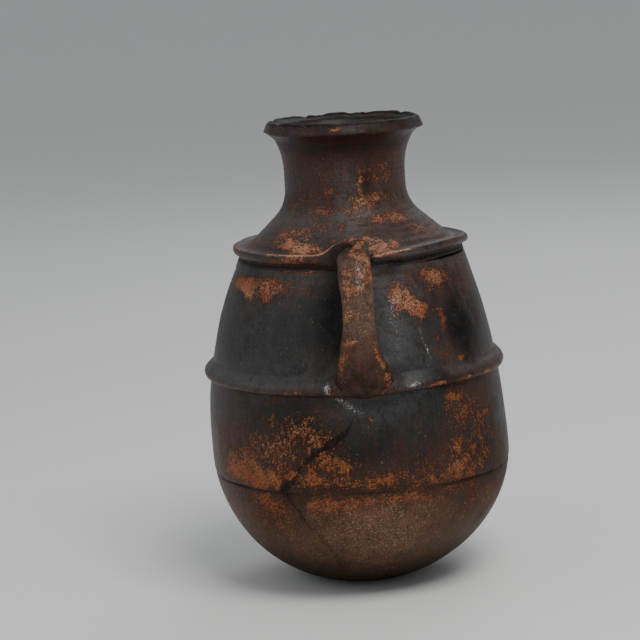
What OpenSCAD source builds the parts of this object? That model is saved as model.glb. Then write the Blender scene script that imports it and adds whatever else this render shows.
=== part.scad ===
// Two-handled terracotta jar, built in thrown sections that are luted together.
// Millimetres. +Z is up, the origin is the centre of the flat foot, and the handles face -Y and +Y.

/* [Body] */
// Height from the foot to the top of the rim
jar_h = 460; // [448:1:480]
// Largest radius of the belly
belly_r = 148.6; // [144:0.2:154]
// Height of the widest level
belly_z = 130; // [125:1:134]
// Radius of the flat foot
foot_r = 43; // [38:1:52]
// Wall thickness at the belly
wall_t = 11; // [9:0.5:13]
// Thickness of the floor
floor_t = 14; // [12:0.5:16]

/* [Joints and ridges] */
// Height of the joint between the lower bowl and the belly band
seam_z = 115; // [108:1:122]
// Height of the waist cordon's middle
waist_z = 218; // [212:1:222]
// Height of the waist cordon's section
waist_h = 17; // [15:1:20]
// How far the waist cordon stands out of the wall
waist_proud = 8; // [5:0.5:10]
// How much higher a joint is inside the wall than outside
scarf = 7; // [3:0.5:8]

/* [Shoulder] */
// Outer radius of the wall's top edge, under the flange
shoulder_r = 112; // [109:0.5:113]
// Height of the wall's top edge
shoulder_z = 324; // [320:1:326]
// How far the flange stands out of the wall's top edge
flange_proud = 4.6; // [3:0.2:6]

/* [Neck and rim] */
// Outer radius of the neck at the throat
throat_r = 60; // [58:0.5:62]
// Length of the throat's straight stretch
throat_h = 16; // [12:1:18]
// Wall thickness of the neck
neck_t = 8.5; // [7:0.5:10]
// Outer radius of the rim collar
rim_r = 78.2; // [76:0.2:80]
// Radius of the mouth at the top of the rim
mouth_r = 66; // [64:0.5:67]

/* [Handles] */
// Radius from the jar's axis to the middle of the strap, where it stands out furthest
handle_reach = 158.5; // [156:0.5:162]
// Width of the strap
strap_w = 31; // [26:1:36]
// Thickness of the strap
strap_t = 17; // [14:0.5:19]
// Width of the clay pressed round the strap's lower root
lower_root_w = 58; // [50:1:66]
// Width of the clay pressed round the strap's upper root
upper_root_w = 38; // [34:1:46]

/* [Hidden] */
$fn = 96;

slip_black = [0.17, 0.16, 0.16];
worn_brown = [0.36, 0.23, 0.16];
bare_clay = [0.60, 0.31, 0.16];

// The foot: the disc's edge is edge_z high, and its joint with the bowl ends on the floor.
edge_z = 5;
floor_r = foot_r - 8;
groove_d = 0.9;      // depth of the line left by the joint on the outside
groove_h = 1.4;      // half the height of that line

// The cone between the flange and the neck rises at cone_a to the horizontal.
cone_a = 43.4;
cone_t = 9;
cone_foot = [96, shoulder_z + 19];
fillet_r = 38;       // outer fillet between the cone and the throat
throat_z = jar_h - 67;
flare_z = throat_z + throat_h;
flare_out = 26;      // the neck's flare is a quarter ellipse this wide
flare_h = 44;        // and this tall
bore_r = throat_r - neck_t;
rim_foot_z = jar_h - 20;
rim_corner_z = jar_h - 10.5;
rim_corner = 1.8;    // radius of the collar's lower corner
rim_lip = 4;         // radius of the collar's top edge

shoulder_t = 9.5;    // thickness of the wall's top edge
ledge_z = shoulder_z + 4;   // height of the same edge inside
flange_face = 5.6;   // radius of the flange's rounded face
flange_lip = 4.2;    // radius of the lip above that face

coil_h = 20;         // inner luting coils: height and how far they stand into the jar
coil_proud = 4;
coil_bed = 5;        // how deep a coil's outline reaches into the wall that is cut from it

// ---- Outline of the body: radius at height z ----

// Radius on a quarter ellipse that is a wide at height c and b tall.
function ellipse_r(z, a, b, c) = a * sqrt(max(0, 1 - pow((z - c) / b, 2)));

// Half height of the ellipse that is a wide at belly_z and passes through [r, z].
function ellipse_b(a, r, z) = abs(z - belly_z) / sqrt(1 - pow(r / a, 2));

function wall_r(z) = ellipse_r(z, belly_r, z < belly_z ? ellipse_b(belly_r, foot_r, 0)
                                                       : ellipse_b(belly_r, shoulder_r, shoulder_z),
                               belly_z);

function cavity_r(z) = let (a = belly_r - wall_t)
    ellipse_r(z, a, z < belly_z ? ellipse_b(a, floor_r, floor_t)
                                : ellipse_b(a, shoulder_r - shoulder_t, shoulder_z), belly_z);

// A ridge of height h around z0, standing proud of the surface it sits on: its share at height z.
function ridge(z, z0, h) = pow(max(0, 1 - pow((z - z0) / (h / 2), 2)), 0.6);

function steps(from, to, n) = [for (i = [0:n]) from + (to - from) * i / n];
function arc(centre, r, from, to, n) = [for (a = steps(from, to, n)) centre + r * [cos(a), sin(a)]];

// ---- Sections of the wall, as outlines in the plane of radius and height ----

function outer_line(from, to, n) = [for (z = steps(from, to, n)) [wall_r(z), z]];
function inner_line(from, to, n) = [for (z = steps(from, to, n)) [cavity_r(z), z]];

function groove(z) = [wall_r(z) - groove_d, z];

foot_joint = [[wall_r(edge_z), edge_z], [floor_r, floor_t]];

module foot_section()
    polygon(concat([[0, 0]], outer_line(0, edge_z, 2), [foot_joint[1], [0, floor_t]]));

module lower_section()
    polygon(concat([foot_joint[0]], outer_line(edge_z + 4, seam_z - groove_h, 20), [groove(seam_z)],
                   inner_line(seam_z + scarf, floor_t, 20)));

module belly_section()
    polygon(concat([groove(seam_z)], outer_line(seam_z + groove_h, waist_z, 18),
                   inner_line(waist_z + scarf, seam_z + scarf, 18)));

module upper_section()
    polygon(concat(outer_line(waist_z, shoulder_z, 22),
                   inner_line(ledge_z, waist_z + scarf, 22)));

// The flange is a thick ledge with a rounded outer face, a raised lip and a shallow channel behind it.
flange_r = shoulder_r + flange_proud;
cone_normal = [-sin(cone_a), -cos(cone_a)];
cone_inner_foot = cone_foot + cone_t * cone_normal;
channel = [[103.5, shoulder_z + 14.4], [99.5, shoulder_z + 15.8]];

module flange_section()
    polygon(concat([[shoulder_r, shoulder_z], [shoulder_r + 1.2, shoulder_z + 3]],
                   arc([flange_r - flange_face, shoulder_z + 10], flange_face, -50, 60, 8),
                   arc([flange_r - 6, shoulder_z + 12.6], flange_lip, 70, 130, 4),
                   channel, [cone_foot, cone_inner_foot],
                   [[cavity_r(ledge_z) - 5, ledge_z + 5], [cavity_r(ledge_z), ledge_z]]));

fillet_centre = [throat_r + fillet_r, throat_z];
fillet_from = 180 + (90 - cone_a);
cone_head = fillet_centre + fillet_r * [cos(fillet_from), sin(fillet_from)];
cone_inner_head = fillet_centre + (fillet_r + neck_t) * [cos(fillet_from), sin(fillet_from)];

module cone_section()
    polygon([cone_foot, cone_head, cone_inner_head, cone_inner_foot]);

// The neck flares above the throat on a quarter ellipse, outside and inside.
function flare_r(z, r0, a, b) = r0 + a * (1 - sqrt(1 - pow(max(0, z - flare_z) / b, 2)));
function neck_r(z) = flare_r(z, throat_r, flare_out, flare_h);
mouth_b = jar_h - flare_z + 3;
mouth_a = (mouth_r - bore_r) / (1 - sqrt(1 - pow((jar_h - flare_z) / mouth_b, 2)));
function mouth_line(z) = flare_r(z, bore_r, mouth_a, mouth_b);

module neck_section()
    polygon(concat(arc(fillet_centre, fillet_r, fillet_from, 180, 10),
                   [for (z = steps(flare_z, rim_foot_z, 8)) [neck_r(z), z]],
                   [for (z = steps(rim_foot_z + 4, flare_z, 8)) [mouth_line(z), z]],
                   arc(fillet_centre, fillet_r + neck_t, 180, fillet_from, 10)));

// The rim is a collar: undercut below, a face that leans in a little, and a rounded flat lip.
module rim_section()
    polygon(concat([for (z = steps(rim_foot_z, rim_corner_z - 3, 4)) [neck_r(z), z]],
                   arc([rim_r - rim_corner, rim_corner_z + 1], rim_corner, -70, 0, 4),
                   [[rim_r - 0.8, jar_h - 5]],
                   arc([rim_r - 5, jar_h - rim_lip], rim_lip, 20, 90, 5),
                   [[mouth_r + 1, jar_h]],
                   [for (z = steps(jar_h - 1, rim_foot_z + 4, 12)) [mouth_line(z), z]]));

// ---- Coils of clay over the joints ----

module cordon_section()
    difference() {
        polygon(concat([for (z = steps(waist_z - waist_h / 2, waist_z + waist_h / 2, 16))
                            [wall_r(z) + waist_proud * ridge(z, waist_z, waist_h), z]],
                       [[wall_r(waist_z + waist_h / 2) - coil_bed, waist_z + waist_h / 2],
                        [wall_r(waist_z - waist_h / 2) - coil_bed, waist_z - waist_h / 2]]));
        belly_section();
        upper_section();
    }

// A flattened coil whose middle is at height z, pressed on the line from below to above.
module coil_outline(line, out)
    polygon(concat([for (i = [0:12]) let (u = i / 12)
                        line[0] + u * (line[1] - line[0]) + coil_proud * ridge(u, 0.5, 1) * out],
                   [line[1] - coil_bed * out, line[0] - coil_bed * out]));

module wall_coil_section(z)
    difference() {
        coil_outline([[cavity_r(z - coil_h / 2), z - coil_h / 2],
                      [cavity_r(z + coil_h / 2), z + coil_h / 2]], [-1, 0]);
        lower_section();
        belly_section();
        upper_section();
    }

module shoulder_coil_section()
    difference() {
        coil_outline([[cavity_r(shoulder_z - 7), shoulder_z - 7], cone_inner_foot + [-2, 1]],
                     [-0.8, -0.6]);
        upper_section();
        flange_section();
        cone_section();
    }

module neck_coil_section()
    difference() {
        coil_outline([cone_inner_head + 8 * [cos(cone_a), -sin(cone_a)],
                      fillet_centre + (fillet_r + neck_t) * [cos(200), sin(200)]],
                     [cos(fillet_from + 12), sin(fillet_from + 12)]);
        cone_section();
        neck_section();
    }

// ---- Handles: a strap swept along a curve in the plane x = 0, with clay pressed round both roots ----

// The curve runs out of the cone over the flange, down past the widest reach, and into the cordon.
strap_line = [[90, shoulder_z + 19], [125, shoulder_z + 27], [handle_reach, shoulder_z + 14],
              [handle_reach, shoulder_z - 36], [handle_reach + 0.5, shoulder_z - 70],
              [handle_reach - 1.5, waist_z + 6], [wall_r(waist_z) - 11, waist_z - 16]];
rings = 40;
upper_ring = 8;      // the strap begins at this ring, and the upper lute ends there
flare_ring = 24;     // the strap widens below this ring
lower_ring = 30;     // the strap ends at this ring, and the lower lute begins there

function bezier(p, t) = pow(1 - t, 3) * p[0] + 3 * t * pow(1 - t, 2) * p[1]
                        + 3 * t * t * (1 - t) * p[2] + pow(t, 3) * p[3];
function strap_point(i) = let (s = 2 * i / rings, k = s < 1 ? 0 : 3)
    bezier([for (j = [0:3]) strap_line[k + j]], s < 1 ? s : s - 1);
function strap_slope(i) = let (d = strap_point(min(i + 0.5, rings)) - strap_point(max(i - 0.5, 0)))
    d / norm(d);

// The section is a rounded rectangle that widens towards both roots and swells over the cordon.
function upper_share(i) = pow(max(0, 1 - i / upper_ring), 1.5);
function lower_share(i) = max(0, i - flare_ring) / (rings - flare_ring);
function ring_w(i) = strap_w + upper_share(i) * (upper_root_w - strap_w)
                             + sin(90 * min(1, 1.25 * lower_share(i))) * (lower_root_w - strap_w);
function ring_t(i) = strap_t + 2 * upper_share(i) + 6 * sin(180 * lower_share(i));
function rounded(v) = sign(v) * pow(abs(v), 0.75);
sides = 24;
function ring_points(i) = let (c = strap_point(i), d = strap_slope(i), out = [-d[1], d[0]])
    [for (k = [0:sides - 1]) let (a = 360 * k / sides, n = rounded(sin(a)) * ring_t(i) / 2)
        [rounded(cos(a)) * ring_w(i) / 2, -(c[0] + n * out[0]), c[1] + n * out[1]]];

module sweep(first, last)
    polyhedron(
        points = [for (i = [first:last]) each ring_points(i)],
        faces = concat([[for (k = [0:sides - 1]) k]],
                       [for (i = [0:last - first - 1]) for (k = [0:sides - 1]) for (half = [0, 1])
                           let (a = i * sides + k, b = i * sides + (k + 1) % sides)
                               half == 0 ? [a, a + sides, b] : [b, a + sides, b + sides]],
                       [[for (k = [sides - 1:-1:0]) (last - first) * sides + k]]));

// Everything inside the outer surface, from below the cordon to above the cone: the wall's own
// sections, and a filling that reaches half way into them.
function middle_r(z) = (wall_r(z) + cavity_r(z)) / 2;

module body_core()
    rotate_extrude() {
        belly_section();
        cordon_section();
        upper_section();
        flange_section();
        cone_section();
        polygon(concat([[0, waist_z - 40]],
                       [for (z = steps(waist_z - 40, shoulder_z, 12)) [middle_r(z), z]],
                       [cone_foot + cone_t / 2 * cone_normal,
                        (cone_head + cone_inner_head) / 2, [0, cone_inner_head[1]]]));
    }

module strap() color(worn_brown) sweep(upper_ring, lower_ring);

module upper_lute() color(worn_brown)
    difference() {
        sweep(0, upper_ring);
        body_core();
    }

module lower_lute() color(worn_brown)
    difference() {
        sweep(lower_ring, rings);
        body_core();
    }

module to_rear() rotate([0, 0, 180]) children();

// ---- Nodes ----

module foot_disc() color(worn_brown) rotate_extrude() foot_section();
module lower_bowl() color(worn_brown) rotate_extrude() lower_section();
module belly_band() color(slip_black) rotate_extrude() belly_section();
module waist_cordon() color(slip_black) rotate_extrude() cordon_section();
module upper_wall() color(slip_black) rotate_extrude() upper_section();
module shoulder_flange() color(slip_black) rotate_extrude() flange_section();
module shoulder_cone() color(slip_black) rotate_extrude() cone_section();
module neck() color(slip_black) rotate_extrude() neck_section();
module rim_collar() color(slip_black) rotate_extrude() rim_section();
module seam_coil() color(bare_clay) rotate_extrude() wall_coil_section(seam_z + scarf);
module waist_coil() color(bare_clay) rotate_extrude() wall_coil_section(waist_z + scarf);
module shoulder_coil() color(bare_clay) rotate_extrude() shoulder_coil_section();
module neck_coil() color(bare_clay) rotate_extrude() neck_coil_section();

foot_disc();
lower_bowl();
belly_band();
waist_cordon();
upper_wall();
shoulder_flange();
shoulder_cone();
neck();
rim_collar();
seam_coil();
waist_coil();
shoulder_coil();
neck_coil();
strap();  // front_handle
upper_lute();  // front_upper_lute
lower_lute();  // front_lower_lute
to_rear() strap();  // rear_handle
to_rear() upper_lute();  // rear_upper_lute
to_rear() lower_lute();  // rear_lower_lute
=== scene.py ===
"""Old two-handled terracotta jar: its worn surface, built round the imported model.

Outlines are written in millimetres and turned into metres when a mesh is made. Azimuths are degrees
round the jar from the front handle, which faces -Y, and they grow towards +X.
"""
import math
from types import SimpleNamespace

import bpy
import numpy as np
from mathutils import Matrix, Vector


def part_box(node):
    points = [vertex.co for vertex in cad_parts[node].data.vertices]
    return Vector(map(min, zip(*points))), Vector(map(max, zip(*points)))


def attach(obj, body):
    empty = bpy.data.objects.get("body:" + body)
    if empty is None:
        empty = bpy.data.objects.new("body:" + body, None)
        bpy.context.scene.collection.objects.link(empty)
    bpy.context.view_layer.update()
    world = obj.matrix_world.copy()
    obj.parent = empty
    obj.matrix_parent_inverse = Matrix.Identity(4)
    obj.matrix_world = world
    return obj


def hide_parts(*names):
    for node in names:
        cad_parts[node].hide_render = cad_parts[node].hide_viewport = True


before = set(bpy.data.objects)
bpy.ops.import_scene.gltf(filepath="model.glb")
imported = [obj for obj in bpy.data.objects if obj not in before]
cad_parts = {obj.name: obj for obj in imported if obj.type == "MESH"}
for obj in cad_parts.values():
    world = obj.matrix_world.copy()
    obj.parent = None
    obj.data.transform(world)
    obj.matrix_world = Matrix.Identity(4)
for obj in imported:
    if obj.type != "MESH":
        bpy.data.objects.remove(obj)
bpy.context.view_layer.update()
MM = 0.001


def cad_mm(node):
    """The lowest and highest corners of a CAD node, in millimetres."""
    low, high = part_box(node)
    return low / MM, high / MM


# ---- Sizes, from the frame and in millimetres ----

SEAM_Z, WAIST_Z, SHOULDER_Z, RIM_Z, EDGE_Z, CORDON_LOW = (
    cad_mm(node)[0].z for node in
    ("belly_band", "upper_wall", "shoulder_flange", "rim_collar", "lower_bowl", "waist_cordon"))
CONE_Z, TOP_Z, CORDON_HIGH = (cad_mm(node)[1].z for node in ("shoulder_flange", "rim_collar", "waist_cordon"))
BELLY_R, FLANGE_R, RIM_R = (cad_mm(node)[1].x for node in ("belly_band", "shoulder_flange", "rim_collar"))
BELLY_Z = 130.0
FOOT_R, FOOT_ROUND, FLOOR_R, FLOOR_T = 43.0, 3.0, 35.0, 14.0
WALL_T, SHOULDER_R, SHOULDER_T = 11.0, 112.0, 9.5
SCARF, COLLAR_LAP = 7.0, 4.0
CONE_R, CONE_T = 96.0, 9.0
THROAT_R, THROAT_Z, THROAT_H, NECK_T = 60.0, TOP_Z - 67, 16.0, 8.5
FLARE_A, FLARE_B = 26.0, 44.0
FILLET_R = 38.0
MOUTH_R = 66.0
FLARE_Z = THROAT_Z + THROAT_H
CORDON_PROUD, CORDON_ENDS, CORDON_BACK, CORDON_EDGE = 7.6, 3.0, 4.0, -0.25
STEPS_ROUND = 720


# ---- Random numbers that are the same on every run ----

def lattice(ix, iy, iz, seed):
    """A fixed number from -1 to 1 for each point of a whole-number grid."""
    h = (ix * 374761393 + iy * 668265263 + iz * 1440662683 + seed * 1274126177) & 0xFFFFFFFF
    h = ((h ^ (h >> 13)) * 1103515245) & 0xFFFFFFFF
    h ^= h >> 16
    return (h & 0xFFFF) / 32767.5 - 1


def noise(p, size, seed=0):
    """Smooth noise from -1 to 1 at the points p, with features about size across."""
    q = p / size
    cell = np.floor(q).astype(np.int64)
    f = q - cell
    f = f * f * f * (f * (f * 6 - 15) + 10)
    total = np.zeros(len(p))
    for corner in range(8):
        d = np.array([corner & 1, corner >> 1 & 1, corner >> 2])
        weight = np.prod(np.where(d == 1, f, 1 - f), axis=1)
        total += weight * lattice(*(cell + d).T, seed)
    return total


def noises(p, seed, *parts):
    """Several noises added up: each part is how strong it is and how large its features are."""
    return sum(amount * noise(p, size, seed + k) for k, (amount, size) in enumerate(parts))


def unit(x):
    """x, kept from 0 to 1."""
    return np.clip(x, 0, 1)


def ease(low, high, x):
    """A smooth climb from 0 at low to 1 at high."""
    t = np.clip((x - low) / (high - low), 0, 1)
    return t * t * (3 - 2 * t)


def fade(high, low, x):
    """The same the other way: 1 before high, 0 after low."""
    return 1 - ease(high, low, x)


def bump(x, half_width):
    """A smooth hill of height 1 round x = 0."""
    return np.exp(-(x / half_width) ** 2)


def table(x, knots):
    """A smooth curve through knots of (x, value)."""
    xs, values = (np.array(column, float) for column in zip(*knots))
    slopes = np.gradient(values, xs)
    k = np.clip(np.searchsorted(xs, x, side="right") - 1, 0, len(xs) - 2)
    step = xs[k + 1] - xs[k]
    t = unit((x - xs[k]) / step)
    start = (1 + 2 * t) * (1 - t) ** 2 * values[k] + t * (1 - t) ** 2 * step * slopes[k]
    return start + t * t * (3 - 2 * t) * values[k + 1] + t * t * (t - 1) * step * slopes[k + 1]


# ---- Outlines: points of radius and height ----

def ellipse_b(a, r, z):
    """Half height of the ellipse that is a wide at BELLY_Z and passes through (r, z)."""
    return abs(z - BELLY_Z) / math.sqrt(1 - (r / a) ** 2)


def belly(a, foot, shoulder):
    """A radius at each height: one ellipse below the widest place, a, and another one above it."""
    low, high = ellipse_b(a, *foot), ellipse_b(a, *shoulder)
    return lambda z: a * np.sqrt(np.maximum(0, 1 - ((z - BELLY_Z) / np.where(z < BELLY_Z, low, high)) ** 2))


wall_r = belly(BELLY_R, (FOOT_R, 0), (SHOULDER_R, SHOULDER_Z))
cavity_r = belly(BELLY_R - WALL_T, (FLOOR_R, FLOOR_T), (SHOULDER_R - SHOULDER_T, SHOULDER_Z))


def along(radius, low, high, n=80):
    """The points (radius(z), z) from one height to another."""
    z = np.linspace(low, high, n)
    return np.column_stack([radius(z), z])


def arc(centre, r, start, end, n=40):
    """Points on part of a circle, between two angles in degrees."""
    a = np.radians(np.linspace(start, end, n))
    return np.array(centre) + r * np.column_stack([np.cos(a), np.sin(a)])


def curve(points, n=12):
    """A smooth curve through the points, with n steps between each two."""
    p = np.array(points, float)
    p = np.vstack([2 * p[0] - p[1], p, 2 * p[-1] - p[-2]])
    t = np.linspace(0, 1, n, endpoint=False)[:, None]
    out = [0.5 * (2 * b + (c - a) * t + (2 * a - 5 * b + 4 * c - d) * t ** 2
                  + (3 * b - a - 3 * c + d) * t ** 3) for a, b, c, d in zip(p, p[1:], p[2:], p[3:])]
    return np.vstack(out + [p[-2][None]])


def spread(points, spacing):
    """The same line with its points about spacing apart."""
    points = np.asarray(points, float)
    s = np.concatenate([[0], np.cumsum(np.linalg.norm(np.diff(points, axis=0), axis=1))])
    t = np.linspace(0, s[-1], max(2, int(round(s[-1] / spacing)) + 1))
    return np.column_stack([np.interp(t, s, points[:, 0]), np.interp(t, s, points[:, 1])])


def line_normals(line):
    """Normals to the right of the line's direction: outwards, where it climbs the outside."""
    d = np.gradient(line, axis=0)
    n = np.column_stack([d[:, 1], -d[:, 0]])
    return n / np.linalg.norm(n, axis=1)[:, None]


def flared(r0, a, b):
    """A radius of r0 that flares above FLARE_Z along an ellipse with half axes a and b."""
    return lambda z: r0 + a * (1 - np.sqrt(1 - (np.maximum(0, z - FLARE_Z) / b) ** 2))


neck_r = flared(THROAT_R, FLARE_A, FLARE_B)
MOUTH_B = TOP_Z - FLARE_Z + 3
MOUTH_A = (MOUTH_R - THROAT_R + NECK_T) / (1 - math.sqrt(1 - ((TOP_Z - FLARE_Z) / MOUTH_B) ** 2))
mouth_r = flared(THROAT_R - NECK_T, MOUTH_A, MOUTH_B)

FILLET = (THROAT_R + FILLET_R, THROAT_Z)
FILLET_FROM = 226.6
CONE_FOOT = np.array([CONE_R, CONE_Z])
CONE_HEAD = arc(FILLET, FILLET_R, FILLET_FROM, FILLET_FROM, 1)[0]
CONE_SLOPE = (CONE_HEAD - CONE_FOOT) / np.linalg.norm(CONE_HEAD - CONE_FOOT)
CONE_INNER_FOOT = CONE_FOOT + CONE_T * np.array([-CONE_SLOPE[1], CONE_SLOPE[0]])
CONE_INNER_HEAD = arc(FILLET, FILLET_R + NECK_T, FILLET_FROM, FILLET_FROM, 1)[0]
FLANGE_INNER_FOOT = np.array([cavity_r(SHOULDER_Z + COLLAR_LAP), SHOULDER_Z + COLLAR_LAP])


def flange_line():
    """The ledge: an undercut from the wall, a raised lip and a shallow gutter up to the cone."""
    lip = [(-5.6, 2.6), (-5.9, 4.9), (-4.8, 6.3), (-2.5, 7.3), (-0.8, 8.9), (0, 11.2), (-0.1, 13.6),
           (-1.2, 15.3), (-2.8, 15.7), (-5.2, 14.9), (-8.6, 14), (-12, 13.8), (-15.2, 14.4), (-18, 16)]
    return curve([(SHOULDER_R, SHOULDER_Z), *np.add(lip, (FLANGE_R, SHOULDER_Z)), CONE_FOOT])


def rim_line():
    """The collar: a flat underside, a leaning face, a rounded top and the slope into the mouth."""
    t, lap, edge = TOP_Z, RIM_Z + COLLAR_LAP, (RIM_R, TOP_Z)
    under = np.add([(-5.4, -14.2), (-2.2, -12.3), (-0.3, -11.2)], edge)
    over = np.add([(0.1, -10.6), (0.1, -9), (-0.8, -6.2), (-1.7, -3.8), (-2.9, -1.8), (-4.3, -0.5), (-5.9, 0),
                   (-7.7, -0.7), (-9.4, -2.3)], edge)
    into = [(mouth_r(t - 5) + 0.6, t - 5), (mouth_r(t - 9), t - 9), (mouth_r(lap), lap)]
    return np.vstack([curve([(neck_r(RIM_Z), RIM_Z), (neck_r(RIM_Z + 2.5), RIM_Z + 2.5), *under]),
                      curve([*over, *into])])


# ---- The hand-made shape: one field of small moves that all the wall's pieces share ----

# The jar's lean: height and how far its middle is moved along x
CENTRE_LINE = [(0, 0.3), (50, 1.6), (110, 1.2), (170, -0.4), (230, -1.2), (300, -0.2), (330, 1.8), (350, 0.8),
               (400, -0.3), (460, 0.3)]

# Dents and swellings of the wall: azimuth, height, half width, half height, depth (negative sinks in)
DENTS = [
    (90, 95, 90, 50, 1.3), (48, 262, 21, 33, -5.6), (41, 264, 8, 26, -1.2), (24, 262, 15, 40, 1.2),
    (66, 285, 26, 40, 0.8), (-60, 250, 50, 50, -0.7), (-24, 170, 60, 26, -0.7), (15, 168, 30, 28, 0.6),
    (120, 250, 40, 40, -1.4), (150, 170, 60, 40, 0.9), (205, 240, 50, 46, -1.2), (250, 180, 46, 50, 1),
    (285, 90, 50, 40, -0.9), (30, 70, 50, 30, 0.7), (190, 70, 60, 30, -0.8), (-100, 300, 30, 26, -1)
]

# Cracks: points of azimuth and height along each
CRACKS = [[(-4, 190), (-8, 175), (-13, 166), (-19, 154), (-26, 140), (-31, 126), (-34, 117)],
          [(-34, 117), (-30, 104), (-28, 92), (-24, 78), (-20, 62), (-18, 45), (-17, 30)],
          [(150, 205), (146, 180), (152, 160), (149, 140), (158, 116)],
          [(232, 116), (238, 92), (234, 70), (243, 50)]]
CRACK_DEPTH, CRACK_W = 0.75, 1.3
GROOVE_W = 1.4

# Chips out of the rim's top edge: azimuth and half width
RIM_CHIPS = [(158, 7), (170, 5), (196, 9), (206, 10), (-64, 5), (95, 7), (122, 4), (250, 6)]

ROOT_SWELL, ROOT_HALF, ROOT_LOW, ROOT_HIGH, ROOT_EDGE = 5.2, 28, 215, 234, 13


def unwrap(degrees, centre):
    """The turn from centre to each azimuth, from -180 to 180 degrees."""
    return (degrees - centre + 180) % 360 - 180


def crack_distance(azimuth, z, crack, p):
    """How far, in millimetres over the wall, each point is from a crack."""
    radius = wall_r(np.clip(z, 20, 320))
    best = np.full(len(z), 1e3)
    jitter = noises(p, 71, (2.6, 12), (1.5, 5))
    for (a0, z0), (a1, z1) in zip(crack, crack[1:]):
        u0 = np.radians(unwrap(azimuth, a0)) * radius
        du = math.radians(unwrap(a1, a0)) * radius
        dz = z1 - z0
        t = unit((u0 * du + (z - z0) * dz) / (du * du + dz * dz))
        best = np.minimum(best, np.hypot(u0 - t * du + jitter, z - z0 - t * dz))
    return best


def handle_side(azimuth, radius):
    """Millimetres to the right of the nearer handle's middle plane, seen from outside."""
    front, rear = unwrap(azimuth, 0), unwrap(azimuth, 180)
    return np.radians(np.where(np.abs(front) < 90, front, rear)) * radius


def root_swell(azimuth, z, radius):
    """Clay smoothed from the wall up onto each handle's lower root."""
    half = ROOT_HALF - 0.45 * np.maximum(0, z - 222)
    beside = np.maximum(0, np.abs(handle_side(azimuth, radius)) - half)
    beyond = np.maximum(0, np.maximum(z - ROOT_HIGH, ROOT_LOW - z))
    return ROOT_SWELL * np.maximum(0, 1 - np.hypot(beside, beyond) / ROOT_EDGE) ** 2


def groove_height(p):
    """The seam's groove wavers a little round the joint."""
    return SEAM_Z + 1.6 * noise(p, 45, 6)


def seam_depth(p):
    """The seam's groove is deep in places and nearly smoothed away in others."""
    return np.clip(0.55 + 0.9 * noise(p, 38, 7) + 0.4 * noise(p, 12, 12), 0.05, 1.5)


def wheel_marks(p, z):
    """Fine rings from throwing, on the upper wall and the neck."""
    thrown = ease(225, 260, z) * 0.6 + ease(SHOULDER_Z, CONE_Z, z) * 0.6
    thrown *= fade(RIM_Z - 6, RIM_Z + 2, z)
    return 0.07 * thrown * np.sin(z * 1.15 + 3.4 * noise(p, 45, 8)) * (1 + 0.8 * noise(p, 24, 9))


def shoulder_step(p, azimuth, z):
    """The upper wall steps out just below the ledge, nearly smoothed away at the front right."""
    step_z = SHOULDER_Z - 5.5 + 0.8 * noise(p, 50, 10)
    side = unwrap(azimuth, 45)
    left = 1 - 0.9 * ease(-12, 0, side) * fade(60, 90, side)
    climb = ease(step_z - 0.7, step_z + 0.7, z)
    return 0.8 * left * climb * fade(SHOULDER_Z + 1, SHOULDER_Z + 5, z)


def shell_move(p, azimuth, r, z):
    """How far the outside moves along its normal, in millimetres."""
    wall = ease(8, 30, z) * fade(SHOULDER_Z - 6, SHOULDER_Z + 2, z)
    move = noises(p, 1, (0.45, 66), (0.22, 27), (0.09, 9), (0.05, 4))
    for a, z0, width, height, depth in DENTS:
        q = (np.radians(unwrap(azimuth, a)) * r / width) ** 2 + ((z - z0) / height) ** 2
        move += wall * depth * np.exp(-q)
    move += wheel_marks(p, z) + shoulder_step(p, azimuth, z)
    move -= seam_depth(p) * bump(z - groove_height(p), GROOVE_W)
    move -= 0.25 * fade(SEAM_Z - 1, SEAM_Z + 1, z) * ease(SEAM_Z - 40, SEAM_Z - 4, z)
    for crack in CRACKS:
        move -= CRACK_DEPTH * bump(crack_distance(azimuth, z, crack, p), CRACK_W)
    return (move + root_swell(azimuth, z, r)) * ease(0, 12, z)


def settle(p, azimuth, z):
    """The jar's lean and its out-of-round, as moves of the points in millimetres."""
    out = p.copy()
    turn = np.radians(azimuth)
    out[:, 0] += table(z, CENTRE_LINE)
    squeeze = 0.0022 * np.cos(2 * turn - math.radians(50) + z / 170) + 0.001 * np.cos(3 * turn + z / 90)
    out[:, :2] *= 1 + squeeze[:, None] * ease(0, 60, z)[:, None]
    out[:, 2] += 0.5 * ease(150, 320, z) * np.sin(2 * turn + 0.7) * fade(430, 456, z)
    return out


def flange_move(p, azimuth, r, z):
    """How the ledge's lip meets each handle: drawn up onto its left side, cut short of its right."""
    a, up = handle_side(azimuth, r), z - SHOULDER_Z
    lip = ease(101, 110, r)
    top, low, off_wall = ease(8, 15, up), fade(4, 11, up), ease(0, 4, up)
    drawn = ease(-52, -18, a) * fade(-8, 0, a)
    web = ease(-36, -10, a) * fade(-2, 6, a)
    cut = ease(9, 11, a) * fade(12.5, 16, a)
    droop = ease(8, 13, a) * fade(18, 34, a)
    deep = ease(4, 10, a) * (1 - 0.7 * ease(24, 46, a)) * fade(90, 150, a)
    front = np.abs(unwrap(azimuth, 0)) < 90
    tilt = front * ease(35, 115, a) * fade(145, 180, a)
    radial = lip * 5 * (drawn ** 2 * off_wall - cut * top)
    rise = top * (6.5 * drawn ** 2 + 6 * web - 3.2 * droop - 3 * cut)
    rise += low * (4 * deep * ease(112, 114, r) - 2.5 * drawn * off_wall)
    rise += 3 * tilt + noises(p, 31, (0.5, 18), (0.5, 70))
    return radial, lip * rise


# ---- Paint: where the slip is worn, stained or dusty, and where shade, highlights and sheen are painted. Each patch is azimuth, height, half width,
# half height, strength and, where it leans, tilt in degrees ----

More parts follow.
